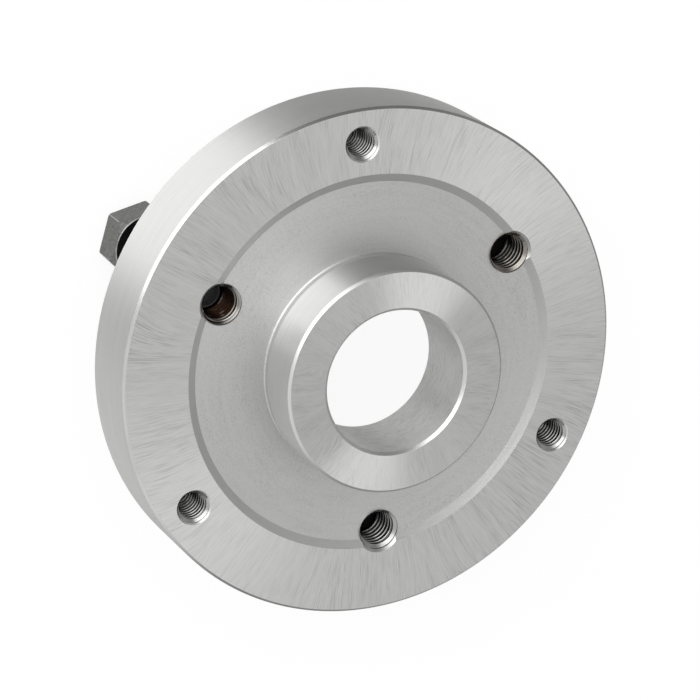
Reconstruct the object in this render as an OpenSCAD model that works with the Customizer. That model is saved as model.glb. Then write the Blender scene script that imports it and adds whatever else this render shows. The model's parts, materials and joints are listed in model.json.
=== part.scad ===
// Adapter plate that carries a 125 mm lathe chuck on a short-taper spindle nose, size 4.
// The part stands on the free ends of its three studs, with the hub and the chuck face up.
// Z runs along the spindle axis, from the stud ends to the hub. All sizes are in millimetres.

/* [Plate] */
// Outer diameter of the plate
plate_d = 125; // [122:0.5:160]
// Thickness from the spindle face to the chuck face
plate_t = 20; // [17:0.5:30]
// Bevel at the front edge of the rim
rim_front_bevel = 0.6; // [0.3:0.05:1.5]
// Bevel at the back edge of the rim
rim_back_bevel = 1; // [0.3:0.05:1.5]

/* [Chuck side] */
// Diameter at which the raised chuck face ends and the recess starts
recess_d = 92.8; // [88:0.1:97]
// Depth of the turned recess below the chuck face
recess_depth = 1; // [0.5:0.05:2]
// Width of the sloped edge of the recess, measured along the radius
recess_slope_w = 2; // [0.5:0.1:3]
// Diameter of the ground hub
hub_d = 54.5; // [48:0.1:60]
// Height of the hub above the chuck face
hub_h = 14; // [8:0.5:25]
// Bevel round the front face of the hub
hub_bevel = 0.6; // [0.3:0.05:2]
// Height of the grinding relief at the root of the hub
relief_h = 2.4; // [1.5:0.1:4]
// Depth of the grinding relief below the hub surface
relief_depth = 0.3; // [0.1:0.05:0.6]
// Diameter of the through bore
bore_d = 34.7; // [20:0.1:44]
// Bevel at the front mouth of the bore
bore_bevel = 0.7; // [0.3:0.05:2]

/* [Spindle side] */
// Diameter of the taper socket at the spindle face
taper_d = 63.513; // [60:0.001:68]
// Depth of the socket
socket_depth = 14.2; // [12:0.1:16]
// Height of the relief groove at the bottom of the taper
groove_h = 2.2; // [1:0.1:4]
// Depth of the relief groove beyond the taper
groove_depth = 0.6; // [0.2:0.1:1.5]
// Bevel at the mouth of the socket
socket_bevel = 0.8; // [0.3:0.05:1.5]

/* [Chuck screw holes] */
// Number of tapped holes for the chuck screws
screw_count = 3; // [2:1:6]
// Bolt circle of the chuck screws
screw_pcd = 108; // [104:0.5:112]
// Thread diameter of the chuck screws
screw_d = 8; // [5:0.5:10]
// Width of the bevel at each mouth of a screw hole
screw_bevel = 0.35; // [0.1:0.05:0.6]

/* [Studs] */
// Bolt circle of the studs
stud_pcd = 85; // [80:0.5:90]
// Thread diameter of the studs
stud_d = 10; // [8:0.5:12]
// Overall length of a stud
stud_len = 50; // [44:0.5:80]
// Length of a stud that is screwed into the plate
stud_in = 9; // [6:0.5:12]
// Length of the plain shank between the two threads of a stud
shank_len = 14; // [6:0.5:18]
// Width of the neck at each end of the shank
neck_w = 1.5; // [1:0.1:2.5]
// Depth of the neck below the shank surface
neck_depth = 0.9; // [0.3:0.1:1.2]
// Bevel at both ends of a stud
stud_bevel = 0.9; // [0.3:0.1:1.5]
// Width of the bevel at each mouth of a stud hole
stud_hole_bevel = 0.6; // [0.1:0.05:0.9]
// Radial play between the stud thread and the plate
stud_play = 0.04; // [0.02:0.01:0.1]

/* [Collar nuts] */
// Width across the flats of a nut
nut_af = 17; // [15:0.5:22]
// Height of a nut
nut_h = 9.5; // [7:0.5:14]
// Length of stud that shows below a nut
nut_end_gap = 3.5; // [0.5:0.5:12]
// Diameter of the turned collar face that bears on the spindle flange
collar_d = 16.8; // [14:0.1:20]
// Height of the turned cone between the collar face and the corners
collar_cone_h = 2.4; // [1:0.1:4]
// Bevel of the nut corners at the free end
nut_end_bevel = 0.3; // [0.1:0.05:0.8]
// Bevel at both mouths of the nut thread
nut_mouth_bevel = 0.5; // [0.2:0.1:1]
// Radial play of a nut on its stud
nut_play = 0.06; // [0.03:0.01:0.1]

/* [Hidden] */
$fn = 120;
eps = 0.5;                      // how far a cutter runs past the face that it opens
taper_half = 1 / 8;             // radius lost per millimetre of depth in a 1:4 taper
stud_angles = [270, 30, 150];   // the screw holes lie midway between the studs
nut_turns = [11, 37, 52];       // how far each nut happens to be turned on its stud
screw_angle_0 = 90;
z_back = stud_len - stud_in;
z_front = z_back + plate_t;
z_floor = z_front - recess_depth;
z_hub = z_front + hub_h;
z_socket = z_back + socket_depth;
stud_r = stud_d / 2 - stud_play;
nut_bore_r = stud_r + nut_play;
z_nut = nut_end_gap;
z_shank = z_back - shank_len;
root_r = relief_depth;

// Radius of the taper socket at a depth below the spindle face
function taper_r(depth) = taper_d / 2 - depth * taper_half;

// Half section of the plate, from the bore round the back, the rim and the hub
module plate_section() {
    bore_r = bore_d / 2;
    hub_r = hub_d / 2;
    root = hub_r - relief_depth;
    taper_end = socket_depth - groove_h;
    polygon([
        [bore_r, z_socket],
        [taper_r(taper_end) + groove_depth, z_socket],
        [taper_r(taper_end) + groove_depth, z_back + taper_end + groove_depth],
        [taper_r(taper_end), z_back + taper_end],
        [taper_r(socket_bevel), z_back + socket_bevel],
        [taper_r(0) + socket_bevel, z_back],
        [plate_d / 2 - rim_back_bevel, z_back],
        [plate_d / 2, z_back + rim_back_bevel],
        [plate_d / 2, z_front - rim_front_bevel],
        [plate_d / 2 - rim_front_bevel, z_front],
        [recess_d / 2, z_front],
        [recess_d / 2 - recess_slope_w, z_floor],
        [root + root_r, z_floor],
        [root, z_floor + root_r],
        [root, z_floor + relief_h / 2],
        [hub_r, z_floor + relief_h],
        [hub_r, z_hub - hub_bevel],
        [hub_r - hub_bevel, z_hub],
        [bore_r + bore_bevel, z_hub],
        [bore_r, z_hub - bore_bevel]
    ]);
}

// Hole through the plate for a thread of radius r, with a bevel w wide at the spindle face and
// at the chuck face. The recess cuts away the bevel on its own side of a stud hole
module tapped_hole(r, w) {
    translate([0, 0, z_back - eps])
        cylinder(r = r, h = plate_t + 2 * eps);
    translate([0, 0, z_front - w])
        cylinder(r1 = r, r2 = r + w + eps, h = w + eps);
    translate([0, 0, z_back - eps])
        cylinder(r1 = r + w + eps, r2 = r, h = w + eps);
}

// Places its children on a bolt circle
module on_circle(pcd, angle) {
    rotate([0, 0, angle])
        translate([pcd / 2, 0, 0])
            children();
}

module adapter_plate() {
    color([0.68, 0.68, 0.67])
        difference() {
            rotate_extrude()
                plate_section();
            for (i = [0 : screw_count - 1])
                on_circle(screw_pcd, screw_angle_0 + i * 360 / screw_count)
                    tapped_hole(screw_d / 2, screw_bevel);
            for (angle = stud_angles)
                on_circle(stud_pcd, angle)
                    tapped_hole(stud_d / 2, stud_hole_bevel);
        }
}

// Stud with a thread at each end, a plain shank that starts at the spindle face, and two necks
module stud(i) {
    neck_r = stud_r - neck_depth;
    color([0.16, 0.16, 0.17])
        on_circle(stud_pcd, stud_angles[i])
            rotate_extrude()
                polygon([
                    [0, 0],
                    [stud_r - stud_bevel, 0],
                    [stud_r, stud_bevel],
                    [stud_r, z_shank - neck_w - neck_depth],
                    [neck_r, z_shank - neck_w],
                    [neck_r, z_shank],
                    [stud_r, z_shank],
                    [stud_r, z_back - neck_w - neck_depth],
                    [neck_r, z_back - neck_w],
                    [neck_r, z_back],
                    [stud_r, z_back + neck_depth],
                    [stud_r, stud_len - stud_bevel],
                    [stud_r - stud_bevel, stud_len],
                    [0, stud_len]
                ]);
}

// Hexagon nut, turned down at its upper end to a round collar face
module collar_nut(i) {
    corner_r = nut_af / 2 / cos(30);
    color([0.33, 0.33, 0.34])
        on_circle(stud_pcd, stud_angles[i])
            translate([0, 0, z_nut])
                difference() {
                    intersection() {
                        rotate([0, 0, nut_turns[i] - stud_angles[i]])
                            cylinder(r = corner_r, h = nut_h, $fn = 6);
                        rotate_extrude()
                            polygon([
                                [0, 0],
                                [corner_r - nut_end_bevel, 0],
                                [corner_r + eps, nut_end_bevel + eps],
                                [corner_r + eps, nut_h - collar_cone_h],
                                [corner_r, nut_h - collar_cone_h],
                                [collar_d / 2, nut_h],
                                [0, nut_h]
                            ]);
                    }
                    translate([0, 0, -eps])
                        cylinder(r = nut_bore_r, h = nut_h + 2 * eps);
                    translate([0, 0, -eps])
                        cylinder(r1 = nut_bore_r + nut_mouth_bevel + eps, r2 = nut_bore_r,
                            h = nut_mouth_bevel + eps);
                    translate([0, 0, nut_h - nut_mouth_bevel])
                        cylinder(r1 = nut_bore_r, r2 = nut_bore_r + nut_mouth_bevel + eps,
                            h = nut_mouth_bevel + eps);
                }
}

adapter_plate();
stud(0);  // stud_1
stud(1);  // stud_2
stud(2);  // stud_3
collar_nut(0);  // collar_nut_1
collar_nut(1);  // collar_nut_2
collar_nut(2);  // collar_nut_3
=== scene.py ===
"""Adapter plate for a lathe chuck: machined plate, three studs and three collar nuts."""

import json
import math

import bmesh
import bpy
from mathutils import Matrix, Vector


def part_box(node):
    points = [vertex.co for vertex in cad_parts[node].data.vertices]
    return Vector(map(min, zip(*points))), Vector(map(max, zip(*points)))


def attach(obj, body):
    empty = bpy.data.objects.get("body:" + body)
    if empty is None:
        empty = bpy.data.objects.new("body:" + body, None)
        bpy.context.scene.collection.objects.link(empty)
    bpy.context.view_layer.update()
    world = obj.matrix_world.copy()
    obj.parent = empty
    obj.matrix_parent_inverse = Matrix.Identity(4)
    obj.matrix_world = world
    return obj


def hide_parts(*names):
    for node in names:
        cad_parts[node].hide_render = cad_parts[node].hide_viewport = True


bl_info = {
    "name": "Chuck adapter plate",
    "version": (1, 0, 0),
    "blender": (4, 5, 0),
    "location": "3D View > Sidebar > Adapter Plate",
    "description": "Builds a machined chuck adapter plate with its studs and collar nuts",
    "category": "Object",
}

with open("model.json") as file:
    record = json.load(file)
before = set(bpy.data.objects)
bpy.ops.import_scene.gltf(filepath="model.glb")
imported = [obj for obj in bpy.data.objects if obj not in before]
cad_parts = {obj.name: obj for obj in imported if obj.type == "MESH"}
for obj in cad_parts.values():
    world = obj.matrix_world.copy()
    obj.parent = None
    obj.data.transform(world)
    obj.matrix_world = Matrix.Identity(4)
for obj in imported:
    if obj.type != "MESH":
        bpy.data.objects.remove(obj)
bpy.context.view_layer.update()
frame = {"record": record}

MM = 0.001
MOUNTS = {m["name"]: m for m in frame["record"]["mounts"]}
PLATE_LOW, PLATE_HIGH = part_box("adapter_plate")
Z_BACK = PLATE_LOW[2]
Z_HUB = PLATE_HIGH[2]
Z_FACE = MOUNTS["chuck_face"]["pos_m"][2]
PLATE_R = PLATE_HIGH[0]
HUB_R = MOUNTS["hub"]["dims"]["r_mm"] * MM
BORE_R = MOUNTS["bore"]["dims"]["r_mm"] * MM
SCREW_R = MOUNTS["chuck_screws"]["dims"]["hole_r_mm"] * MM
SCREW_CIRCLE_R = MOUNTS["chuck_screws"]["dims"]["pcd_mm"] * MM / 2
STUD_CIRCLE_R = MOUNTS["stud_set"]["dims"]["pcd_mm"] * MM / 2
STUD_R = MOUNTS["stud_set"]["dims"]["stud_r_mm"] * MM
STUD_NODES = ["stud_1", "stud_2", "stud_3"]
NUT_NODES = ["collar_nut_1", "collar_nut_2", "collar_nut_3"]
STUD_ANGLES = [math.radians(a) for a in (270, 30, 150)]
SCREW_ANGLES = [math.radians(a) for a in (90, 210, 330)]
NUT_TURNS = [math.radians(a) for a in (11, 37, 52)]  # how far each nut happens to be turned on its stud
STUD_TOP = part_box("stud_1")[1][2]
NUT_LOW, NUT_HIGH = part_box("collar_nut_1")
TAPER_HALF = 1 / 8   # radius lost for each unit of depth in a 1:4 taper
PAST = 0.5 * MM      # how far a cutter runs past the face that it opens
BITE = 0.02 * MM     # how far the lining of a tapped hole reaches into the metal round it
SAME_PLACE = 1e-7    # distance in metres within which two points count as one
FINE, SLOW = 3.0, 1.0  # detail of the noise that draws machining marks, and of the one that draws gloss


def length(name, default_mm, description):
    """A size property in metres, given in millimetres."""
    return bpy.props.FloatProperty(
        name=name, description=description, default=default_mm * MM, min=0.0, unit="LENGTH", precision=5)


def count(name, default, least, description):
    """A property that counts steps."""
    return bpy.props.IntProperty(name=name, description=description, default=default, min=least)


def level(name, default, description):
    """A brightness property, in which 1 is white."""
    return bpy.props.FloatProperty(name=name, description=description, default=default, min=0.0)


def hex_colour(name, default, description):
    """A colour property written as an sRGB hex value."""
    return bpy.props.StringProperty(name=name, description=description, default=default)


class PlateSizes(bpy.types.PropertyGroup):
    """Sizes of the turned and ground plate."""
    recess_r: length("Recess radius", 46.4, "Radius at which the raised chuck face ends")
    recess_depth: length("Recess depth", 1.0, "Depth of the recess below the chuck face")
    recess_slope: length("Recess slope", 2.0, "Width of the sloped edge of the recess")
    relief_height: length("Relief height", 2.4, "Height of the grinding relief at the root of the hub")
    relief_depth: length("Relief depth", 0.3, "Depth of the grinding relief")
    hub_bevel: length("Hub bevel", 0.6, "Bevel round the front of the hub")
    bore_bevel: length("Bore bevel", 0.7, "Bevel at the front mouth of the bore")
    rim_front_bevel: length("Front rim bevel", 0.6, "Bevel at the front edge of the rim")
    rim_back_bevel: length("Back rim bevel", 1.0, "Bevel at the back edge of the rim")
    taper_r: length("Taper radius", 31.7565, "Radius of the taper socket at the spindle face")
    socket_depth: length("Socket depth", 14.2, "Depth of the taper socket")
    groove_height: length("Groove height", 2.2, "Height of the relief groove at the bottom of the taper")
    groove_depth: length("Groove depth", 0.6, "Depth of the relief groove beyond the taper")
    socket_bevel: length("Socket bevel", 0.8, "Bevel at the mouth of the socket")
    screw_bevel: length("Screw hole bevel", 0.35, "Width of the bevel outside the thread of a screw hole")
    stud_bevel: length("Stud hole bevel", 0.6, "Width of the bevel outside the thread of a stud hole")
    edge_round: length("Edge rounding", 0.08, "Radius to which a machined edge is broken")
    segments: count("Segments", 288, 24, "Steps round the plate")


class ThreadSizes(bpy.types.PropertyGroup):
    """Sizes of the cut threads."""
    screw_pitch: length("Screw pitch", 1.25, "Pitch of the chuck screw threads")
    screw_depth: length("Screw thread depth", 0.68, "Radial depth of the chuck screw threads")
    stud_pitch: length("Stud pitch", 1.5, "Pitch of the stud threads")
    stud_depth: length("Stud thread depth", 0.8, "Radial depth of the tapped stud threads")
    rod_depth: length("Rod thread depth", 0.9, "Radial depth of the thread cut on a stud")
    stud_hole_r: length("Stud hole radius", 5.0, "Radius of a stud hole at the bottom of its thread")
    neck_width: length("Neck width", 1.5, "Width of the neck at each end of the shank")
    end_step: length("End step", 0.4, "How far the upper end of a stud is smaller than its thread root")
    # On the first stud this ring carries a painted highlight.
    end_ring: length("End ring", 0.3, "Width of the ring round the upper end, bright on the worn stud")
    shank: length("Shank", 14.0, "Length of the plain shank between the two threads of a stud")
    columns: count("Columns", 64, 12, "Steps round a thread")


class NutSizes(bpy.types.PropertyGroup):
    """Sizes of the collar nuts."""
    across_flats: length("Across flats", 17.0, "Width of the hexagon across its flats")
    collar_r: length("Collar radius", 8.4, "Radius of the turned face that bears on the spindle flange")
    cone_height: length("Cone height", 2.4, "Height of the turned cone below the collar face")
    ring: length("Bright ring", 0.16, "Width of the bright turned ring round the collar face")
    end_bevel: length("End bevel", 0.3, "Bevel of the corners at the free end")
    bore_r: length("Bore radius", 5.02, "Radius of the nut's bore")
    mouth_bevel: length("Mouth bevel", 0.5, "Bevel at both mouths of the bore")
    edge_round: length("Edge rounding", 0.13, "Radius of the hexagon's long edges")
    turned_round: length("Turned rounding", 0.1, "Radius to which the turned edges are broken")
    segments: count("Segments", 96, 24, "Steps round the turned faces of a nut")


class FinishColours(bpy.types.PropertyGroup):
    """Colours of the finishes and of the studio."""
    steel: hex_colour("Turned steel", "#CFCFCE", "The turned rim and the wall of the bore")
    ground_steel: hex_colour("Ground steel", "#D4D4D3", "The raised chuck face, ground bright")
    steel_dark: hex_colour("Shaded steel", "#8E8E8D", "Cut steel in the valleys of the machining marks")
    faced_steel: hex_colour("Faced steel", "#CACAC9", "The duller steel of the turned recess")
    bright_steel: hex_colour("Brightest steel", "#D3D3D2", "The ground hub and the freshly broken edges")
    slope_steel: hex_colour("Slope steel", "#BEBEBD", "The sloped edge of the recess, a little darker")
    thread: hex_colour("Thread ridge", "#C2C2C0", "Ridges of the tapped holes")
    dull_thread: hex_colour("Dull ridge", "#A9A39C", "Ridges of the stud hole that holds the most dirt")
    # Painted shade with some grime: the near black of the thread roots, also laid on the ridges towards the
    # inside of each tapped hole.
    thread_root_dirt_and_shade: hex_colour("Thread root", "#121212", "Dirt in the roots of the tapped holes")
    oiled: hex_colour("Oiled ridge", "#C6C3BE", "Ridges of the stud hole that kept its preserving oil")
    # Brown oil, which also serves as painted shade towards the inside of that hole.
    oil: hex_colour("Oil", "#1A100A", "Brown preserving oil in the roots of that hole")
    # On the studs this is their own black oxide; on the collar faces and bores of the nuts it is painted
    # shade.
    oxide: hex_colour("Black oxide", "#2C2C2E", "Blackened steel of the studs and of the collar faces")
    # Painted light: the grey end of the first stud, lighter than its black.
    painted_light_stud_end: hex_colour("Worn oxide", "#66686A", "The one stud end that is worn grey")
    # On the nuts this is bare steel rubbed by wear; round the first stud's end it is a painted highlight.
    worn_edge_and_highlight: hex_colour("Worn edge", "#B8B8B6", "Bare steel on the edges of a nut and of the worn stud end")
    phosphate: hex_colour("Phosphate", "#7D7D7B", "Dull grey coat on the flats of the nuts")
    floor: hex_colour("Floor", "#FFFFFF", "Floor of the studio")


class StageSizes(bpy.types.PropertyGroup):
    """Camera, floor and light."""
    focal: bpy.props.FloatProperty(
        name="Focal length", description="Lens of the camera in millimetres", default=176.03)
    roll: bpy.props.FloatProperty(
        name="Roll", description="How far the camera is turned about its own axis",
        default=math.radians(126.397), subtype="ANGLE")
    camera_at: bpy.props.FloatVectorProperty(
        name="Camera", description="Place of the camera", default=(-0.0915, -0.39696, 0.75798),
        subtype="TRANSLATION")
    aim_at: bpy.props.FloatVectorProperty(
        name="Aim", description="Point at which the camera looks", default=(-0.00123, -0.00709, 0.061),
        subtype="TRANSLATION")
    floor_r: length("Floor radius", 160, "Radius of the round white floor")
    floor_glow: level("Floor glow", 1.02, "How bright the floor shines of itself")
    floor_seen: level("Floor seen", 0.86, "Share of that glow that the camera sees, and the rest is lit")
    floor_mirrored: level("Floor mirrored", 0.25, "Share of that glow that the metal mirrors")
    soft_light: level("Soft light", 0.65, "Light that reaches the part from all round")
    horizon: level("Horizon", 0.27, "Wall of the studio at the horizon, as the metal mirrors it")
    ceiling: level("Ceiling", 0.87, "Ceiling of the studio, as the metal mirrors it")
    curtain: level("Curtain", 0.19, "Dark curtain in the wall, as the metal mirrors it")
    screen: level("Screen", 0.93, "Pale screen in the wall, as the metal mirrors it")
    softbox: level("Softbox", 2.05, "Brightness of the softbox")


def linear(hex_value):
    """Linear RGBA of an sRGB hex colour."""
    channels = [int(hex_value[i:i + 2], 16) / 255 for i in (1, 3, 5)]
    return [c / 12.92 if c <= 0.04045 else ((c + 0.055) / 1.055) ** 2.4 for c in channels] + [1.0]


def add(tree, kind, inputs=None, **settings):
    """Adds a shader node. An input that is a socket is linked, and any other sets the value."""
    node = tree.nodes.new(kind)
    for key, value in settings.items():
        setattr(node, key, value)
    for key, value in (inputs or {}).items():
        if isinstance(value, bpy.types.NodeSocket):
            tree.links.new(value, node.inputs[key])
        else:
            node.inputs[key].default_value = value
    return node


def new_material(name):
    """A material with an empty node tree and its output node."""
    material = bpy.data.materials.new(name)
    material.use_nodes = True
    material.node_tree.nodes.clear()
    return material, material.node_tree, add(material.node_tree, "ShaderNodeOutputMaterial")


def polar(tree):
    """Sockets for the radius about the object's Z axis, the unit vector outwards, and the height."""
    place = add(tree, "ShaderNodeTexCoord").outputs["Object"]
    flat = add(tree, "ShaderNodeVectorMath", {0: place, 1: (1.0, 1.0, 0.0)}, operation="MULTIPLY")
    radius = add(tree, "ShaderNodeVectorMath", {0: flat.outputs[0]}, operation="LENGTH").outputs["Value"]
    outwards = add(tree, "ShaderNodeVectorMath", {0: flat.outputs[0]}, operation="NORMALIZE").outputs[0]
    height = add(tree, "ShaderNodeSeparateXYZ", {0: place}).outputs["Z"]
    return radius, outwards, height


def streaks(tree, outwards, repeats, across, detail):
    """Noise with that many repeats in a radian of angle, and one in every unit of the across socket."""
    along = add(tree, "ShaderNodeVectorMath", {0: outwards, "Scale": repeats}, operation="SCALE")
    across = add(tree, "ShaderNodeCombineXYZ", {2: across})
    place = add(tree, "ShaderNodeVectorMath", {0: along.outputs[0], 1: across.outputs[0]}, operation="ADD")
    return add(tree, "ShaderNodeTexNoise", {"Vector": place.outputs[0], "Scale": 1.0, "Detail": detail,
                                            "Roughness": 0.6}).outputs["Fac"]


def turned_lay(tree, mark_mm, streak_mm, mean_r_mm, detail):
    """Marks that run round the axis, mark_mm apart, as a turning tool leaves them."""
    radius, outwards, height = polar(tree)
    across = add(tree, "ShaderNodeMath", {0: radius, 1: height}, operation="ADD")
    across = add(tree, "ShaderNodeMath", {0: across.outputs[0], 1: 1.0 / (mark_mm * MM)},
                 operation="MULTIPLY")
    return streaks(tree, outwards, mean_r_mm / streak_mm, across.outputs[0], detail)


def ground_lay(tree, mark_mm, streak_mm, mean_r_mm, detail):
    """Marks that run outwards, mark_mm apart, and trail off round the axis as a cup wheel leaves them.
    They are straight at straight_r, and bend with the square of the distance from there."""
    straight_r = 46 * MM
    least_bend, most_bend = -60.0, 190.0
    radius, outwards, _ = polar(tree)
    trail = add(tree, "ShaderNodeMath", {0: radius, 1: -straight_r}, operation="ADD")
    trail = add(tree, "ShaderNodeMath", {0: trail.outputs[0], 1: trail.outputs[0]}, operation="MULTIPLY")
    wander = add(tree, "ShaderNodeTexNoise", {"Vector": outwards, "Scale": 2.0, "Detail": 1.0}).outputs["Fac"]
    wander = add(tree, "ShaderNodeMapRange", {"Value": wander, "From Min": 0.35, "From Max": 0.6,
                                              "To Min": least_bend, "To Max": most_bend})
    turn = add(tree, "ShaderNodeMath", {0: trail.outputs[0], 1: wander.outputs[0]}, operation="MULTIPLY")
    bent = add(tree, "ShaderNodeVectorRotate", {"Vector": outwards, "Angle": turn.outputs[0]},
               rotation_type="Z_AXIS")
    across = add(tree, "ShaderNodeMath", {0: radius, 1: 1.0 / (streak_mm * MM)}, operation="MULTIPLY")
    return streaks(tree, bent.outputs[0], mean_r_mm / mark_mm, across.outputs[0], detail)


def cut_steel(name, lay, mean_r_mm, marks_mm, drift_mm, light, dark, depth, roughness, spread, relief_mm,
              anisotropy, turn, drift_detail=SLOW):
    """Bare cut steel. lay draws the machining marks, given by their distance and their length, and more
    widely the drift of the gloss, which goes by spread to either side of roughness. The valleys of the
    marks take on as much of the dark colour as depth says, and less in patches some 14 mm wide. turn is
    the direction in which the marks stretch a reflection: 0 is round the axis, and 0.25 square to that."""
    patch_mm, least_patch, drift_share = 14, 0.6, 0.15
    material, tree, output = new_material(name)
    fine = lay(tree, *marks_mm, mean_r_mm, FINE)
    slow = lay(tree, *drift_mm, mean_r_mm, drift_detail)
    place = add(tree, "ShaderNodeTexCoord").outputs["Object"]
    patches = add(tree, "ShaderNodeTexNoise", {"Vector": place, "Scale": 1.0 / (patch_mm * MM),
                                               "Detail": 1.0})
    patches = add(tree, "ShaderNodeMapRange", {"Value": patches.outputs["Fac"], "From Min": 0.4,
                                               "From Max": 0.62, "To Min": least_patch, "To Max": 1.0})
    shade = add(tree, "ShaderNodeMix", {"Factor": drift_share, "A": fine, "B": slow})
    valley = add(tree, "ShaderNodeMapRange", {"Value": shade.outputs[0], "From Min": 0.36, "From Max": 0.52,
                                              "To Min": depth, "To Max": 0.0})
    valley = add(tree, "ShaderNodeMath", {0: valley.outputs[0], 1: patches.outputs[0]}, operation="MULTIPLY")
    tone = add(tree, "ShaderNodeMix", {"Factor": valley.outputs[0], 6: linear(light), 7: linear(dark)},
               data_type="RGBA")
    gloss = add(tree, "ShaderNodeMapRange", {"Value": slow, "From Min": 0.3, "From Max": 0.7,
                                             "To Min": roughness + spread, "To Max": roughness - spread})
    bump = add(tree, "ShaderNodeBump", {"Height": fine, "Strength": patches.outputs[0],
                                        "Distance": relief_mm * MM})
    tangent = add(tree, "ShaderNodeTangent", direction_type="RADIAL", axis="Z")
    shader = add(tree, "ShaderNodeBsdfPrincipled", {
        "Base Color": tone.outputs[2], "Metallic": 1.0, "Roughness": gloss.outputs[0],
        "Anisotropic": anisotropy, "Anisotropic Rotation": turn,
        "Normal": bump.outputs[0], "Tangent": tangent.outputs[0]})
    tree.links.new(shader.outputs[0], output.inputs["Surface"])
    return material


def ground_face_steel(colours):
    """Steel ground with a cup wheel: satin, with lines that run outwards and fans of light across them.
    The real lines lie about 0.1 mm apart, and are drawn 0.15 mm apart so that they show."""
    return cut_steel("ground_face_steel", ground_lay, 54, marks_mm=(0.15, 6), drift_mm=(1.6, 20),
                     light=colours.ground_steel, dark=colours.steel_dark, depth=0.48, roughness=0.46,
                     spread=0.03, relief_mm=0.008, anisotropy=0.68, turn=0.01)


def turned_face_steel(colours):
    """Steel faced on a lathe with a fine feed: matte, with rings that barely show. The real feed of
    0.1 mm is drawn as 0.16 mm."""
    return cut_steel("turned_face_steel", turned_lay, 38, marks_mm=(0.16, 0.6), drift_mm=(1.2, 12),
                     light=colours.faced_steel, dark=colours.steel_dark, depth=0.38, roughness=0.46,
                     spread=0.02, relief_mm=0.008, anisotropy=0.4, turn=0.25)


def turned_slope_steel(colours):
    """The sloped edge of the recess, turned with the side of the tool: the dullest surface of the plate,
    with marks of 0.1 mm that are drawn 0.3 mm apart."""
    return cut_steel("turned_slope_steel", turned_lay, 45, marks_mm=(0.3, 4), drift_mm=(1.2, 12),
                     light=colours.slope_steel, dark=colours.steel_dark, depth=0.15, roughness=0.56,
                     spread=0.02, relief_mm=0.003, anisotropy=0.35, turn=0.25)


def turned_rim_steel(colours):
    """Steel turned round the rim: its grooves stretch every reflection up and down. The grooves of
    0.15 mm are drawn 0.3 mm apart."""
    return cut_steel("turned_rim_steel", turned_lay, 62, marks_mm=(0.3, 14), drift_mm=(1.5, 30),
                     light=colours.steel, dark=colours.steel_dark, depth=0.1, roughness=0.52,
                     spread=0.02, relief_mm=0.002, anisotropy=1.0, turn=0.25)


def ground_hub_steel(colours):
    """Steel ground round the hub and in the taper socket: the smoothest of the wide surfaces, with a soft
    shine. The lines of the wheel, 0.05 mm apart, are drawn 0.3 mm apart."""
    return cut_steel("ground_hub_steel", turned_lay, 27, marks_mm=(0.3, 10), drift_mm=(1.5, 20),
                     light=colours.bright_steel, dark=colours.steel_dark, depth=0.15, roughness=0.38,
                     spread=0.02, relief_mm=0.001, anisotropy=1.0, turn=0.25)


def ground_end_steel(colours):
    """Steel ground flat on the end of the hub: smooth, with a narrow fan of light on either side. Its lay
    crosses the radius at a slant, with lines of 0.1 mm that are drawn 0.15 mm apart."""
    return cut_steel("ground_end_steel", ground_lay, 22, marks_mm=(0.15, 3), drift_mm=(2, 9),
                     light=colours.bright_steel, dark=colours.steel_dark, depth=0.3, roughness=0.42,
                     spread=0.02, relief_mm=0.003, anisotropy=0.93, turn=-0.07)


def bored_steel(colours):
    """Steel bored from the solid: half dull, with short torn marks 0.25 mm apart."""
    return cut_steel("bored_steel", turned_lay, 17, marks_mm=(0.25, 1.6), drift_mm=(2.5, 5),
                     light=colours.steel, dark=colours.steel_dark, depth=0.4, roughness=0.5,
                     spread=0.05, relief_mm=0.006, anisotropy=0.4, turn=0.25, drift_detail=2.0)


def bevelled_steel(colours):
    """Edges broken with a single-point tool: nearly bright, with marks of 0.1 mm drawn 0.2 mm apart."""
    return cut_steel("bevelled_steel", turned_lay, 40, marks_mm=(0.2, 20), drift_mm=(1, 20),
                     light=colours.bright_steel, dark=colours.steel_dark, depth=0.2, roughness=0.25,
                     spread=0.03, relief_mm=0.001, anisotropy=0.3, turn=0.25)


def deburred_steel(colours):
    """Bevels of the hub, the bore and the holes, rubbed with emery: softer and evener than the turned
    ones. The scratches are drawn 0.2 mm apart."""
    return cut_steel("deburred_steel", turned_lay, 22, marks_mm=(0.2, 20), drift_mm=(1, 20),
                     light=colours.bright_steel, dark=colours.steel_dark, depth=0.0, roughness=0.4,
                     spread=0.02, relief_mm=0.001, anisotropy=0.3, turn=0.25)


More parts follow.
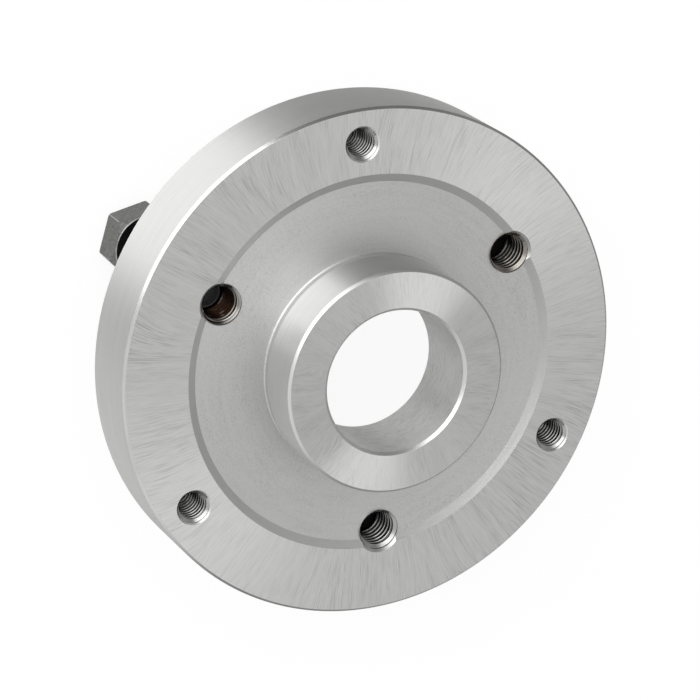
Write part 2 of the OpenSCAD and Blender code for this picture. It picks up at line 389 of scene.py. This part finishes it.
def tapped_steel(name, crest, root, crest_r, root_r, mouth_z, bright_root_mm, deep_mm, deep_shade_share):
    """Cut thread: bright worn ridges over roots darkened with grime and painted shade. The roots are bright
    at the mouth and darken over bright_root_mm, and the ridges take on painted shade towards the inside of
    the hole, as much as deep_shade_share says over deep_mm."""
    smears_per_metre, smears_per_radian = 600.0, 1.5
    root_dark_starts, root_dark_full, mouth_share = 0.02, 0.3, 0.15
    thread_depth = root_r - crest_r
    material, tree, output = new_material(name)
    radius, outwards, height = polar(tree)
    across = add(tree, "ShaderNodeMath", {0: height, 1: smears_per_metre}, operation="MULTIPLY").outputs[0]
    grain = streaks(tree, outwards, smears_per_radian, across, 2.0)
    # Grime and painted shade fill the thread roots from the mouth inwards.
    in_root = add(tree, "ShaderNodeMapRange", {"Value": radius,
                                               "From Min": crest_r + root_dark_starts * thread_depth,
                                               "From Max": crest_r + root_dark_full * thread_depth})
    inside = add(tree, "ShaderNodeMapRange", {"Value": height, "From Min": mouth_z - bright_root_mm * MM,
                                              "From Max": mouth_z, "To Min": 1.0, "To Max": 0.0})
    dirt_and_shade = add(tree, "ShaderNodeMath", {0: in_root.outputs[0], 1: inside.outputs[0]}, operation="MULTIPLY")
    # Painted shade: the ridges darken towards the inside of the hole, with streaks from the grain.
    deep_shade = add(tree, "ShaderNodeMapRange", {"Value": height, "From Min": mouth_z - deep_mm * MM,
                                            "From Max": mouth_z, "To Min": deep_shade_share,
                                            "To Max": mouth_share})
    smear = add(tree, "ShaderNodeMapRange", {"Value": grain, "From Min": 0.35, "From Max": 0.65,
                                             "To Min": 0.94, "To Max": 1.2})
    deep_shade = add(tree, "ShaderNodeMath", {0: deep_shade.outputs[0], 1: smear.outputs[0]}, operation="MULTIPLY",
               use_clamp=True)
    dirt_and_shade = add(tree, "ShaderNodeMath", {0: dirt_and_shade.outputs[0], 1: deep_shade.outputs[0]}, operation="MAXIMUM")
    tone = add(tree, "ShaderNodeMix", {"Factor": dirt_and_shade.outputs[0], 6: linear(crest), 7: linear(root)},
               data_type="RGBA")
    gloss = add(tree, "ShaderNodeMapRange", {"Value": grain, "From Min": 0.3, "From Max": 0.7,
                                             "To Min": 0.18, "To Max": 0.38})
    shader = add(tree, "ShaderNodeBsdfPrincipled", {
        "Base Color": tone.outputs[2], "Metallic": 1.0, "Roughness": gloss.outputs[0]})
    tree.links.new(shader.outputs[0], output.inputs["Surface"])
    return material


def coated_steel(name, colour, roughness, grain_mm, relief_mm):
    """Steel under a thin chemical coat, whose crystals scatter the light. They are finer than 0.1 mm, and
    are drawn grain_mm wide so that they show."""
    shade, spread = 0.5, 0.12
    material, tree, output = new_material(name)
    place = add(tree, "ShaderNodeTexCoord").outputs["Object"]
    grain = add(tree, "ShaderNodeTexNoise", {"Vector": place, "Scale": 1.0 / (grain_mm * MM), "Detail": 4.0,
                                             "Roughness": 0.6}).outputs["Fac"]
    dark = [channel * shade for channel in linear(colour)[:3]] + [1.0]
    cloud = add(tree, "ShaderNodeMapRange", {"Value": grain, "From Min": 0.36, "From Max": 0.64})
    tone = add(tree, "ShaderNodeMix", {"Factor": cloud.outputs[0], 6: dark, 7: linear(colour)},
               data_type="RGBA")
    gloss = add(tree, "ShaderNodeMapRange", {"Value": grain, "To Min": roughness - spread,
                                             "To Max": roughness + spread})
    bump = add(tree, "ShaderNodeBump", {"Height": grain, "Strength": 0.6, "Distance": relief_mm * MM})
    shader = add(tree, "ShaderNodeBsdfPrincipled", {
        "Base Color": tone.outputs[2], "Metallic": 0.85, "Roughness": gloss.outputs[0],
        "Normal": bump.outputs[0]})
    tree.links.new(shader.outputs[0], output.inputs["Surface"])
    return material


def black_oxide_and_shade(colours):
    """Black oxide on steel: an almost black, oiled skin with a low shine. On the nuts' collar faces and bores
    the same near black is painted shade.
    """
    return coated_steel("black_oxide_steel", colours.oxide, roughness=0.4, grain_mm=0.4, relief_mm=0.01)


def painted_light_stud_end(colours):
    """Painted light: the same black skin, lightened to grey on the end of one stud."""
    return coated_steel("worn_oxide_steel", colours.painted_light_stud_end, roughness=0.35, grain_mm=0.4, relief_mm=0.01)


def worn_edge_and_highlight(colours):
    """Edges of the nuts that spanner and tool have rubbed down to grey steel, and a painted highlight on the
    ring round one stud end.
    """
    return coated_steel("worn_edge_steel", colours.worn_edge_and_highlight, roughness=0.3, grain_mm=0.3, relief_mm=0.004)


def phosphate(colours):
    """Phosphated steel: dull mid grey with a fine crystal grain."""
    return coated_steel("phosphated_steel", colours.phosphate, roughness=0.5, grain_mm=0.6, relief_mm=0.02)


GROUND, TURNED, RIM, HUB, HUB_END, BORED, BEVEL, SLOPE, DEBURRED = range(9)
PLATE_FINISHES = [ground_face_steel, turned_face_steel, turned_rim_steel, ground_hub_steel, ground_end_steel,
                  bored_steel, bevelled_steel, turned_slope_steel, deburred_steel]
# The first stud's end takes painted light on its disc and a painted highlight on its ring.
BLACK, LIT_END, HIGHLIGHT_RING = range(3)
STUD_FINISHES = [black_oxide_and_shade, painted_light_stud_end, worn_edge_and_highlight]
# The collar face and the bore of each nut are painted near black as shade.
FLATS, NUT_SHADE, BARE = range(3)
NUT_FINISHES = [phosphate, black_oxide_and_shade, worn_edge_and_highlight]


def rounded(points, radius, steps=3):
    """The closed outline of (r, z, finish) points, with every real corner rounded to radius."""
    nearly_straight, side_share = math.radians(88), 0.45
    outline = []
    for i, (r, z, finish) in enumerate(points):
        here = Vector((r, z))
        before = Vector(points[i - 1][:2]) - here
        after = Vector(points[(i + 1) % len(points)][:2]) - here
        half = before.angle(after) / 2
        if half > nearly_straight:
            outline.append((r, z, finish))
            continue
        reach = min(radius / math.tan(half), side_share * before.length, side_share * after.length)
        start = here + before.normalized() * reach
        end = here + after.normalized() * reach
        for k in range(steps + 1):
            t = k / steps
            p = start * (1 - t) ** 2 + here * 2 * t * (1 - t) + end * t ** 2
            outline.append((p.x, p.y, finish if k == steps else points[i - 1][2]))
    return outline


def around(centre, r, angle, z):
    """Point at a radius and an angle about an upright axis through centre."""
    return (centre[0] + r * math.cos(angle), centre[1] + r * math.sin(angle), z)


def on_circle(radius, angle):
    """Place of a hole on a bolt circle."""
    return around((0.0, 0.0), radius, angle, 0.0)[:2]


def ring(bm, centre, r, z, steps):
    """Vertices of a level circle, or one vertex repeated where the radius is nothing."""
    if r < SAME_PLACE:
        return [bm.verts.new((*centre, z))] * steps
    return [bm.verts.new(around(centre, r, 2 * math.pi * j / steps, z)) for j in range(steps)]


def skin(bm, low, high, finish):
    """Faces between two rings."""
    for j in range(len(low)):
        k = (j + 1) % len(low)
        corners = list(dict.fromkeys((low[j], low[k], high[k], high[j])))
        if len(corners) > 2:
            bm.faces.new(corners).material_index = finish


def mesh_object(name, bm):
    """Turns a bmesh into an object with outward normals."""
    bmesh.ops.recalc_face_normals(bm, faces=bm.faces[:])
    mesh = bpy.data.meshes.new(name)
    bm.to_mesh(mesh)
    bm.free()
    mesh.polygons.foreach_set("use_smooth", [True] * len(mesh.polygons))
    obj = bpy.data.objects.new(name, mesh)
    bpy.context.scene.collection.objects.link(obj)
    return obj


def welded(name, bm):
    """Object from a bmesh whose coincident vertices are merged."""
    bmesh.ops.remove_doubles(bm, verts=bm.verts[:], dist=0.002 * MM)
    bmesh.ops.dissolve_degenerate(bm, edges=bm.edges[:], dist=0.001 * MM)
    return mesh_object(name, bm)


def lathe(name, outline, segments, centre=(0.0, 0.0)):
    """A closed mesh turned from an outline of (r, z, finish). finish is the material of the next band."""
    bm = bmesh.new()
    rings = [ring(bm, centre, r, z, segments) for r, z, _ in outline]
    for i, (_, _, finish) in enumerate(outline):
        skin(bm, rings[i], rings[(i + 1) % len(rings)], finish)
    return mesh_object(name, bm)


def bands(bm, centre, steps, columns, finish):
    """Rings of faces through the (r, z) steps."""
    rings = [ring(bm, centre, r, z, columns) for r, z in steps]
    for low, high in zip(rings, rings[1:]):
        skin(bm, low, high, finish)


def end_disc(bm, centre, r, z, columns, finish):
    """Flat round end at height z."""
    bm.faces.new(ring(bm, centre, r, z, columns)).material_index = finish


def settle(obj):
    """Replaces the mesh by its evaluated form and drops the modifiers."""
    graph = bpy.context.evaluated_depsgraph_get()
    mesh = bpy.data.meshes.new_from_object(obj.evaluated_get(graph))
    obj.modifiers.clear()
    obj.data = mesh


def cut(obj, cutter, operation="DIFFERENCE"):
    """Applies a boolean with the cutter, which is deleted."""
    modifier = obj.modifiers.new("cut", "BOOLEAN")
    modifier.operation = operation
    modifier.solver = "EXACT"
    modifier.object = cutter
    settle(obj)
    bpy.data.objects.remove(cutter)


def finish_shading(obj, sharp_degrees=26):
    """Marks the sharp edges, then weights the normals so that flat faces stay flat."""
    bm = bmesh.new()
    bm.from_mesh(obj.data)
    bmesh.ops.remove_doubles(bm, verts=bm.verts[:], dist=SAME_PLACE)
    bmesh.ops.dissolve_degenerate(bm, edges=bm.edges[:], dist=SAME_PLACE)
    for edge in bm.edges:
        edge.smooth = len(edge.link_faces) == 2 and edge.calc_face_angle(0.0) < math.radians(sharp_degrees)
    for face in bm.faces:
        face.smooth = True
    bm.to_mesh(obj.data)
    bm.free()
    modifier = obj.modifiers.new("normals", "WEIGHTED_NORMAL")
    modifier.mode = "FACE_AREA"
    modifier.keep_sharp = True
    settle(obj)


def coat(obj, materials):
    """Gives a mesh its materials, in the order that its faces count them."""
    for material in materials:
        obj.data.materials.append(material)


def mount(obj, body):
    """Hangs a finished piece on the body that carries it."""
    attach(obj, body)


def plate_outline(sizes):
    """Half section of the plate as (r, z, finish), from the bore round the back, rim and hub."""
    z_floor = Z_FACE - sizes.recess_depth
    root = HUB_R - sizes.relief_depth
    taper_end = sizes.socket_depth - sizes.groove_height
    groove_r = sizes.taper_r - taper_end * TAPER_HALF + sizes.groove_depth
    return [
        (BORE_R, Z_BACK + sizes.socket_depth, TURNED),
        (groove_r, Z_BACK + sizes.socket_depth, TURNED),
        (groove_r, Z_BACK + taper_end + sizes.groove_depth, TURNED),
        (groove_r - sizes.groove_depth, Z_BACK + taper_end, HUB),
        (sizes.taper_r - sizes.socket_bevel * TAPER_HALF, Z_BACK + sizes.socket_bevel, BEVEL),
        (sizes.taper_r + sizes.socket_bevel, Z_BACK, TURNED),
        (PLATE_R - sizes.rim_back_bevel, Z_BACK, BEVEL),
        (PLATE_R, Z_BACK + sizes.rim_back_bevel, RIM),
        (PLATE_R, Z_FACE - sizes.rim_front_bevel, BEVEL),
        (PLATE_R - sizes.rim_front_bevel, Z_FACE, GROUND),
        (sizes.recess_r, Z_FACE, SLOPE),
        (sizes.recess_r - sizes.recess_slope, z_floor, TURNED),
        (root + sizes.relief_depth, z_floor, TURNED),
        (root, z_floor + sizes.relief_depth, TURNED),
        (root, z_floor + sizes.relief_height / 2, TURNED),
        (HUB_R, z_floor + sizes.relief_height, HUB),
        (HUB_R, Z_HUB - sizes.hub_bevel, DEBURRED),
        (HUB_R - sizes.hub_bevel, Z_HUB, HUB_END),
        (BORE_R + sizes.bore_bevel, Z_HUB, DEBURRED),
        (BORE_R, Z_HUB - sizes.bore_bevel, BORED),
    ]


def hole_cutter(name, centre, r, bevel):
    """Solid that bores a hole through the plate, with a bevel at both mouths."""
    segments = 72
    outline = [
        (0.0, Z_BACK - PAST, BORED),
        (r + bevel + PAST, Z_BACK - PAST, DEBURRED),
        (r, Z_BACK + bevel, BORED),
        (r, Z_FACE - bevel, DEBURRED),
        (r + bevel + PAST, Z_FACE + PAST, BORED),
        (0.0, Z_FACE + PAST, BORED),
    ]
    return lathe(name, outline, segments, centre)


def build_plate(sizes, threads, colours):
    """The plate: one turned body with the screw holes and the stud holes cut through it."""
    finishes = [finish(colours) for finish in PLATE_FINISHES]
    plate = lathe("machined_plate", rounded(plate_outline(sizes), sizes.edge_round), sizes.segments)
    coat(plate, finishes)
    holes = [(SCREW_CIRCLE_R, angle, SCREW_R, sizes.screw_bevel) for angle in SCREW_ANGLES]
    holes += [(STUD_CIRCLE_R, angle, threads.stud_hole_r, sizes.stud_bevel) for angle in STUD_ANGLES]
    for circle_r, angle, r, bevel in holes:
        cutter = hole_cutter("hole", on_circle(circle_r, angle), r, bevel)
        coat(cutter, finishes)
        cut(plate, cutter)
    finish_shading(plate)
    mount(plate, "plate")
    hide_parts("adapter_plate")


def thread_rows(crest_r, root_r):
    """One turn of a thread as (share of the pitch, radius): a flat crest, a flank, a root, a flank."""
    crest_end, root_start, root_end = 0.13, 0.45, 0.68
    return [(0.0, crest_r), (crest_end, crest_r), (root_start, root_r), (root_end, root_r)]


def helix_loops(bm, centre, z0, z1, pitch, rows, limit, columns):
    """Rows of vertices that follow a right-hand thread from z0 to z1, each radius passed to limit."""
    turns = int(math.ceil((z1 - z0) / pitch)) + 2
    grid = []
    for k in range(-1, turns):
        for share, r in rows:
            row = []
            for j in range(columns + 1):
                z = z0 + pitch * (k + share + j / columns - 1)
                z = min(max(z, z0), z1)
                row.append(bm.verts.new(around(centre, limit(r, z), 2 * math.pi * j / columns, z)))
            grid.append(row)
    for low, high in zip(grid, grid[1:]):
        for j in range(columns):
            bm.faces.new((low[j], low[j + 1], high[j + 1], high[j]))


def build_studs(threads, colours):
    """Studs with a cut thread at both ends, a plain shank and two necks. The end of the first carries painted
    light, with a painted highlight on the ring round it.
    """
    finishes = [finish(colours) for finish in STUD_FINISHES]
    columns = threads.columns
    minor = STUD_R - threads.rod_depth
    end_r = minor - threads.end_step
    z_shank = Z_BACK - threads.shank
    lower_end = z_shank - threads.neck_width
    rows = thread_rows(STUD_R, minor)
    shank = [(minor, lower_end), (minor, z_shank), (STUD_R, z_shank),
             (STUD_R, Z_BACK - threads.neck_width - threads.rod_depth),
             (minor, Z_BACK - threads.neck_width), (minor, Z_BACK)]

    def lower_limit(r, z):
        return max(minor, min(r, minor + z, minor + lower_end - z))

    def upper_limit(r, z):
        return min(r, end_r + STUD_TOP - z, max(minor, minor + z - Z_BACK))

    # Painted light and a painted highlight on the end of the first stud.
    for node, angle, end, edge in zip(STUD_NODES, STUD_ANGLES, (LIT_END, BLACK, BLACK), (HIGHLIGHT_RING, BLACK, BLACK)):
        centre = on_circle(STUD_CIRCLE_R, angle)
        bm = bmesh.new()
        helix_loops(bm, centre, 0.0, lower_end, threads.stud_pitch, rows, lower_limit, columns)
        helix_loops(bm, centre, Z_BACK, STUD_TOP, threads.stud_pitch, rows, upper_limit, columns)
        bands(bm, centre, shank, columns, BLACK)
        end_disc(bm, centre, minor, 0.0, columns, BLACK)
        bands(bm, centre, [(end_r, STUD_TOP), (end_r - threads.end_ring, STUD_TOP)], columns, edge)
        end_disc(bm, centre, end_r - threads.end_ring, STUD_TOP, columns, end)
        rod = welded(node.replace("stud", "threaded_stud"), bm)
        coat(rod, finishes)
        finish_shading(rod, sharp_degrees=40)
        mount(rod, "plate")
        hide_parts(node)


def tapped_lining(name, place, hole_r, depth, pitch, back, mouth, low, columns):
    """Thread cut into a hole. It lines the wall from low to the mouth, and the bevels at back and mouth
    cut into its ridges."""
    outer = hole_r + BITE
    high = mouth + BITE

    def limit(r, z):
        return min(outer, max(r, hole_r - mouth + z, hole_r + back - z))

    bm = bmesh.new()
    helix_loops(bm, (0, 0), low, high, pitch, thread_rows(hole_r, hole_r - depth), limit, columns)
    helix_loops(bm, (0, 0), low, high, high - low, [(0.0, outer)], lambda r, z: r, columns)
    lining = welded(name, bm)
    lining.location = (*place, 0.0)
    return lining


def build_tapped_threads(sizes, threads, colours):
    """Threads in the screw holes, and in the stud holes above the studs."""
    mouth, back = Z_FACE - sizes.screw_bevel, Z_BACK + sizes.screw_bevel
    linings = [tapped_lining(f"screw_thread_{i + 1}", on_circle(SCREW_CIRCLE_R, angle), SCREW_R,
                             threads.screw_depth, threads.screw_pitch, back, mouth, back - BITE,
                             threads.columns)
               for i, angle in enumerate(SCREW_ANGLES)]
    steels = [tapped_steel("tapped_screw_hole_steel", colours.thread, colours.thread_root_dirt_and_shade,
                           SCREW_R - threads.screw_depth, SCREW_R, mouth,
                           bright_root_mm=2.5, deep_mm=9.0, deep_shade_share=0.8)] * len(linings)
    mouth, back = Z_FACE - sizes.stud_bevel, STUD_TOP - threads.rod_depth
    hole_r = threads.stud_hole_r
    linings += [tapped_lining(f"stud_hole_thread_{i + 1}", on_circle(STUD_CIRCLE_R, angle), hole_r,
                              threads.stud_depth, threads.stud_pitch, back, mouth, back, threads.columns)
                for i, angle in enumerate(STUD_ANGLES)]
    # Per stud hole: material, ridge colour, root colour of grime and painted shade, bright_root_mm, deep_mm,
    # deep_shade_share.
    stud_holes = [
        ("oiled_stud_hole_steel", colours.oiled, colours.oil, 1.0, 4.0, 1.0),
        ("clean_stud_hole_steel", colours.thread, colours.thread_root_dirt_and_shade, 2.5, 9.0, 0.85),
        ("dirty_stud_hole_steel", colours.dull_thread, colours.thread_root_dirt_and_shade, 2.0, 8.0, 0.9),
    ]
    steels += [tapped_steel(name, crest, root, hole_r - threads.stud_depth, hole_r, mouth, bright_root_mm, deep_mm,
                            deep_shade_share)
               for name, crest, root, bright_root_mm, deep_mm, deep_shade_share in stud_holes]
    for lining, steel in zip(linings, steels):
        coat(lining, [steel])
        finish_shading(lining, sharp_degrees=35)
        mount(lining, "plate")


def nut_blank(name, corner_r, edge_round, height, centre, z, turn):
    """Hexagon bar with rounded long edges, longer than the nut that is turned from it."""
    spare = 2 * MM
    bm = bmesh.new()
    place = Matrix.Translation((*centre, z + height / 2)) @ Matrix.Rotation(turn + math.pi / 6, 4, "Z")
    bmesh.ops.create_cone(bm, cap_ends=True, segments=6, radius1=corner_r, radius2=corner_r,
                          depth=height + spare, matrix=place)
    long_edges = [e for e in bm.edges if abs(e.verts[0].co.z - e.verts[1].co.z) > height / 2]
    bmesh.ops.bevel(bm, geom=long_edges, offset=edge_round, segments=3, affect="EDGES", profile=0.5,
                    material=BARE)
    return mesh_object(name, bm)


def build_nuts(sizes, colours):
    """Hexagon nuts, each turned down at its upper end to a round collar face. The collar face and the bore
    are painted near black as shade.
    """
    finishes = [finish(colours) for finish in NUT_FINISHES]
    corner_r = sizes.across_flats / 2 / math.cos(math.pi / 6)
    height = NUT_HIGH[2] - NUT_LOW[2]
    outer = corner_r + PAST
    mouth_r = sizes.bore_r + sizes.mouth_bevel
    for i, (node, angle, turn) in enumerate(zip(NUT_NODES, STUD_ANGLES, NUT_TURNS)):
        centre = on_circle(STUD_CIRCLE_R, angle)
        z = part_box(node)[0][2]
        top = z + height
        nut = nut_blank(node.replace("collar_nut", "hexagon_nut"), corner_r, sizes.edge_round, height,
                        centre, z, turn)
        body = [
            (sizes.bore_r, top - sizes.mouth_bevel, NUT_SHADE),
            (sizes.bore_r, z + sizes.mouth_bevel, NUT_SHADE),
            (mouth_r, z, FLATS),
            (corner_r - sizes.end_bevel, z, FLATS),
            (outer, z + sizes.end_bevel + outer - corner_r, FLATS),
            (outer, top - sizes.cone_height - PAST, FLATS),
            (corner_r, top - sizes.cone_height, FLATS),
            (sizes.collar_r + sizes.ring,
             top - sizes.ring * sizes.cone_height / (corner_r - sizes.collar_r), BARE),
            (sizes.collar_r, top, NUT_SHADE),
            (mouth_r, top, NUT_SHADE),
        ]
        turned = lathe("turned", rounded(body, sizes.turned_round), sizes.segments, centre)
        coat(nut, finishes)
        coat(turned, finishes)
        cut(nut, turned, "INTERSECT")
        finish_shading(nut, sharp_degrees=24)
        mount(nut, f"nut_{i + 1}")
        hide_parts(node)


def direction(azimuth, elevation):
    """Unit vector towards an azimuth and an elevation in degrees."""
    a, e = math.radians(azimuth), math.radians(elevation)
    return (math.cos(a) * math.cos(e), math.sin(a) * math.cos(e), math.sin(e))


def area_lamp(name, azimuth, elevation, distance, size, radiance):
    """Softbox that faces the part, and that the camera sees only in the metal."""
    light = bpy.data.lights.new(name, "AREA")
    light.shape = "RECTANGLE"
    light.size, light.size_y = size
    light.energy = math.pi * size[0] * size[1] * radiance
    lamp = bpy.data.objects.new(name, light)
    lamp.location = Vector(direction(azimuth, elevation)) * distance
    lamp.rotation_euler = lamp.location.to_track_quat("Z", "Y").to_euler()
    lamp.visible_camera = False
    bpy.context.scene.collection.objects.link(lamp)


def hang(tree, wall, brightness, azimuth, elevation, inner, outer):
    """The wall socket, with a round patch of another brightness hung in front of it. The patch fades out
    between its inner and outer angles in degrees."""
    view = add(tree, "ShaderNodeTexCoord").outputs["Generated"]
    towards = add(tree, "ShaderNodeVectorMath", {0: view, 1: direction(azimuth, elevation)},
                  operation="DOT_PRODUCT")
    inside = add(tree, "ShaderNodeMapRange", {
        "Value": towards.outputs["Value"], "From Min": math.cos(math.radians(outer)),
        "From Max": math.cos(math.radians(inner))}, interpolation_type="SMOOTHSTEP")
    return add(tree, "ShaderNodeMix", {"Factor": inside.outputs[0], "A": wall, "B": brightness}).outputs[0]


def seen_directly(tree):
    """Light path node, and a socket that is 1 for camera rays and for rays through glass."""
    path = add(tree, "ShaderNodeLightPath")
    seen = add(tree, "ShaderNodeMath", {0: path.outputs["Is Camera Ray"],
                                        1: path.outputs["Is Transmission Ray"]}, operation="MAXIMUM")
    return path, seen.outputs[0]


def build_studio(stage):
    """Softbox on the camera's side and, seen only in the metal, walls of different brightness."""
    world = bpy.data.worlds.new("studio")
    bpy.context.scene.world = world
    world.use_nodes = True
    tree = world.node_tree
    tree.nodes.clear()
    path, seen = seen_directly(tree)
    rise = add(tree, "ShaderNodeSeparateXYZ", {0: add(tree, "ShaderNodeTexCoord").outputs["Generated"]})
    walls = add(tree, "ShaderNodeMapRange", {"Value": rise.outputs["Z"], "To Min": stage.horizon,
                                             "To Max": stage.ceiling}).outputs[0]
    walls = hang(tree, walls, stage.curtain, azimuth=191, elevation=15, inner=22, outer=45)
    walls = hang(tree, walls, stage.screen, azimuth=331, elevation=10, inner=15, outer=50)
    soft = add(tree, "ShaderNodeMix", {"Factor": seen, "A": stage.soft_light, "B": 1.0})
    strength = add(tree, "ShaderNodeMix", {"Factor": path.outputs["Is Glossy Ray"], "A": soft.outputs[0],
                                           "B": walls})
    background = add(tree, "ShaderNodeBackground", {"Color": (1.0, 1.0, 1.0, 1.0),
                                                    "Strength": strength.outputs[0]})
    add(tree, "ShaderNodeOutputWorld", {"Surface": background.outputs[0]})
    area_lamp("key_softbox", azimuth=250, elevation=38, distance=1.2, size=(1.28, 1.7),
              radiance=stage.softbox)


def white_floor(stage, colours):
    """White studio paper: flat white to the eye, with a soft shadow, and a pale sheet in the metal."""
    material, tree, output = new_material("white_floor")
    matte = add(tree, "ShaderNodeBsdfDiffuse", {"Color": linear(colours.floor)})
    glow = add(tree, "ShaderNodeEmission", {"Color": linear(colours.floor), "Strength": stage.floor_glow})
    path, seen = seen_directly(tree)
    share = add(tree, "ShaderNodeMath", {0: seen, 1: stage.floor_seen}, operation="MULTIPLY")
    share = add(tree, "ShaderNodeMath", {0: path.outputs["Is Glossy Ray"], 1: stage.floor_mirrored,
                                         2: share.outputs[0]}, operation="MULTIPLY_ADD")
    mixed = add(tree, "ShaderNodeMixShader", {0: share.outputs[0], 1: matte.outputs[0], 2: glow.outputs[0]})
    tree.links.new(mixed.outputs[0], output.inputs["Surface"])
    return material


def build_stage(stage, colours):
    """White floor, soft light and the camera at the photographed angle."""
    scene = bpy.context.scene
    bm = bmesh.new()
    bmesh.ops.create_circle(bm, cap_ends=True, segments=64, radius=stage.floor_r)
    floor = mesh_object("floor", bm)
    coat(floor, [white_floor(stage, colours)])
    build_studio(stage)

    data = bpy.data.cameras.new("camera")
    data.sensor_width = 36.0
    data.lens = stage.focal
    data.clip_start, data.clip_end = 0.01, 50.0
    camera = bpy.data.objects.new("camera", data)
    look = Vector(stage.aim_at) - Vector(stage.camera_at)
    facing = look.to_track_quat("-Z", "Y").to_matrix().to_4x4()
    camera.matrix_world = (Matrix.Translation(stage.camera_at) @ facing
                           @ Matrix.Rotation(stage.roll, 4, "Z"))
    scene.collection.objects.link(camera)
    scene.camera = camera
    scene.view_settings.view_transform = "Standard"


class PLATE_OT_plate(bpy.types.Operator):
    """Build the machined plate"""
    bl_idname = "adapter.plate"
    bl_label = "Machined plate"

    def execute(self, context):
        scene = context.scene
        build_plate(scene.plate_sizes, scene.thread_sizes, scene.finish_colours)
        return {"FINISHED"}


class PLATE_OT_threads(bpy.types.Operator):
    """Cut the threads in the screw holes and the stud holes"""
    bl_idname = "adapter.threads"
    bl_label = "Tapped threads"

    def execute(self, context):
        scene = context.scene
        build_tapped_threads(scene.plate_sizes, scene.thread_sizes, scene.finish_colours)
        return {"FINISHED"}


class PLATE_OT_studs(bpy.types.Operator):
    """Build the three studs"""
    bl_idname = "adapter.studs"
    bl_label = "Studs"

    def execute(self, context):
        build_studs(context.scene.thread_sizes, context.scene.finish_colours)
        return {"FINISHED"}


class PLATE_OT_nuts(bpy.types.Operator):
    """Build the three collar nuts"""
    bl_idname = "adapter.nuts"
    bl_label = "Collar nuts"

    def execute(self, context):
        build_nuts(context.scene.nut_sizes, context.scene.finish_colours)
        return {"FINISHED"}


class PLATE_OT_stage(bpy.types.Operator):
    """Set up the floor, the light and the camera"""
    bl_idname = "adapter.stage"
    bl_label = "Stage"

    def execute(self, context):
        build_stage(context.scene.stage_sizes, context.scene.finish_colours)
        return {"FINISHED"}


class PLATE_PT_panel(bpy.types.Panel):
    """Lists the steps that build the adapter plate"""
    bl_idname = "PLATE_PT_panel"
    bl_label = "Chuck adapter plate"
    bl_space_type = "VIEW_3D"
    bl_region_type = "UI"
    bl_category = "Adapter Plate"

    def draw(self, context):
        for step in STEPS:
            self.layout.operator(step.bl_idname)


GROUPS = {"plate_sizes": PlateSizes, "thread_sizes": ThreadSizes, "nut_sizes": NutSizes,
          "finish_colours": FinishColours, "stage_sizes": StageSizes}
STEPS = [PLATE_OT_stage, PLATE_OT_plate, PLATE_OT_threads, PLATE_OT_studs, PLATE_OT_nuts]


def register():
    """Registers the classes and hangs the settings on the scene."""
    for cls in [*GROUPS.values(), *STEPS, PLATE_PT_panel]:
        bpy.utils.register_class(cls)
    for name, group in GROUPS.items():
        setattr(bpy.types.Scene, name, bpy.props.PointerProperty(type=group))


def unregister():
    """Takes the settings and the classes away again."""
    for name in GROUPS:
        delattr(bpy.types.Scene, name)
    for cls in reversed([*GROUPS.values(), *STEPS, PLATE_PT_panel]):
        bpy.utils.unregister_class(cls)


def main():
    """Builds everything in order."""
    register()
    bpy.ops.adapter.stage()
    bpy.ops.adapter.plate()
    bpy.ops.adapter.threads()
    bpy.ops.adapter.studs()
    bpy.ops.adapter.nuts()


if __name__ == "__main__":
    main()
